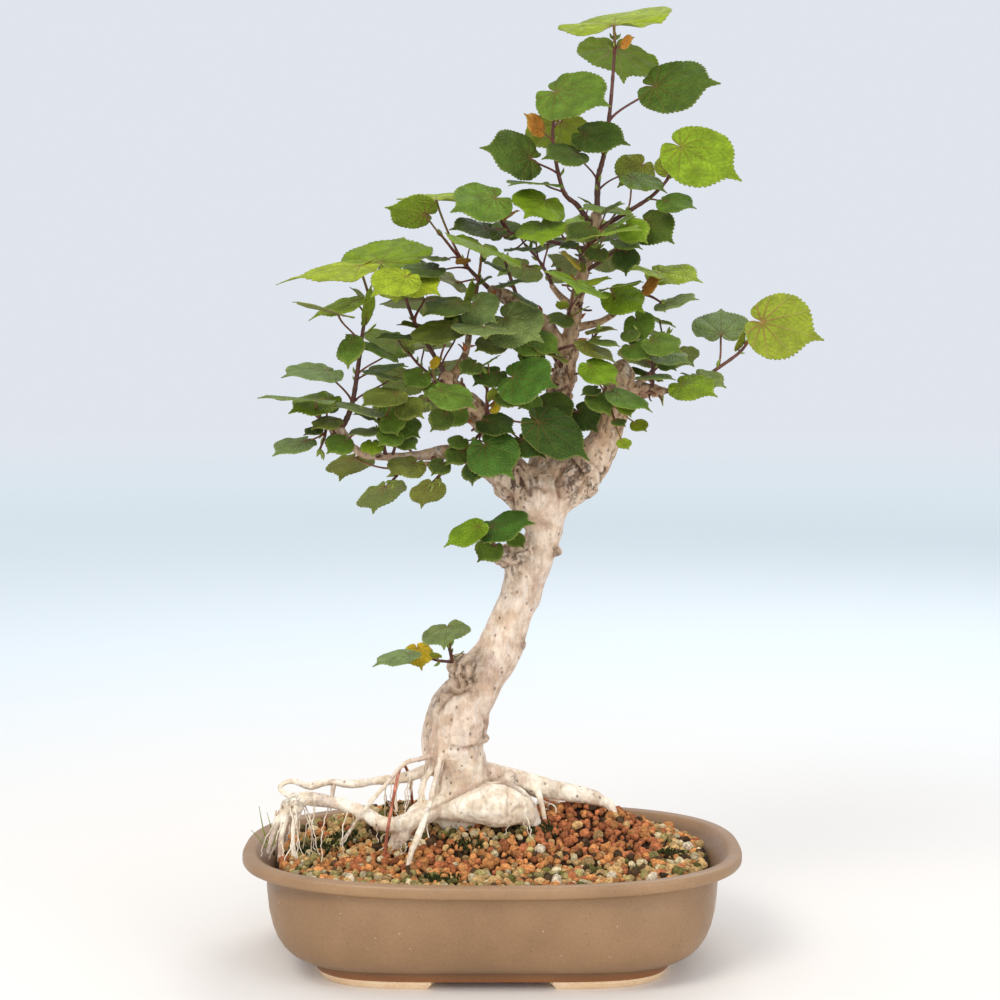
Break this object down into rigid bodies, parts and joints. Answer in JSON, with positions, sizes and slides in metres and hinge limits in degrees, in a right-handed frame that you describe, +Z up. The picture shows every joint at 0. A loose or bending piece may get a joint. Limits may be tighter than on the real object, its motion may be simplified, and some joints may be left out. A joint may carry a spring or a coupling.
{
  "type": "sea hibiscus bonsai",
  "caption": "Sea hibiscus bonsai with a slanting pale trunk, bare surface roots and round serrated leaves, in an oval footed clay pot of gritty soil.",
  "frame": {"origin": "centre of the bounding box, on the plane under the pot's feet", "axes": "+Z up, +X to the right and +Y away from a viewer in front of the pot's long side"},
  "size_m": [0.3718, 0.228, 0.6199],
  "materials": {
    "pot_clay": "satin",
    "soil_grit": "matte",
    "bark": "matte",
    "copper_wire": "satin",
    "drain_mesh": "matte",
    "leaf": "satin"
  },
  "bodies": {
    "root": {"pot": "pot_clay", "soil": "soil_grit", "tree": "bark", "tie_wire": "copper_wire", "drain_screen_left": "drain_mesh", "drain_screen_right": "drain_mesh", "apex_shoot": "leaf", "apex_left_shoot": "leaf", "apex_right_shoot": "leaf", "crown_left_shoot": "leaf", "crown_front_shoot": "leaf", "crown_right_shoot": "leaf", "upper_right_shoot": "leaf", "upper_left_top_shoot": "leaf", "diagonal_leaf_shoot": "leaf", "crown_centre_shoot": "leaf", "slanting_leaf_shoot": "leaf", "left_upper_shoot": "leaf", "left_middle_shoot": "leaf", "left_end_shoot": "leaf", "left_low_shoot": "leaf", "left_hanging_shoot": "leaf", "dead_twig_shoot": "leaf", "inner_left_shoot": "leaf", "centre_shoot": "leaf", "centre_right_shoot": "leaf", "centre_low_shoot": "leaf", "leader_shoot": "leaf", "right_tip_shoot": "leaf", "right_middle_shoot": "leaf", "right_limb_shoot": "leaf", "trunk_shoot": "leaf", "low_trunk_shoot": "leaf", "back_shoot": "leaf", "back_upper_shoot": "leaf", "back_left_shoot": "leaf", "back_right_shoot": "leaf"}
  },
  "joints": []
}
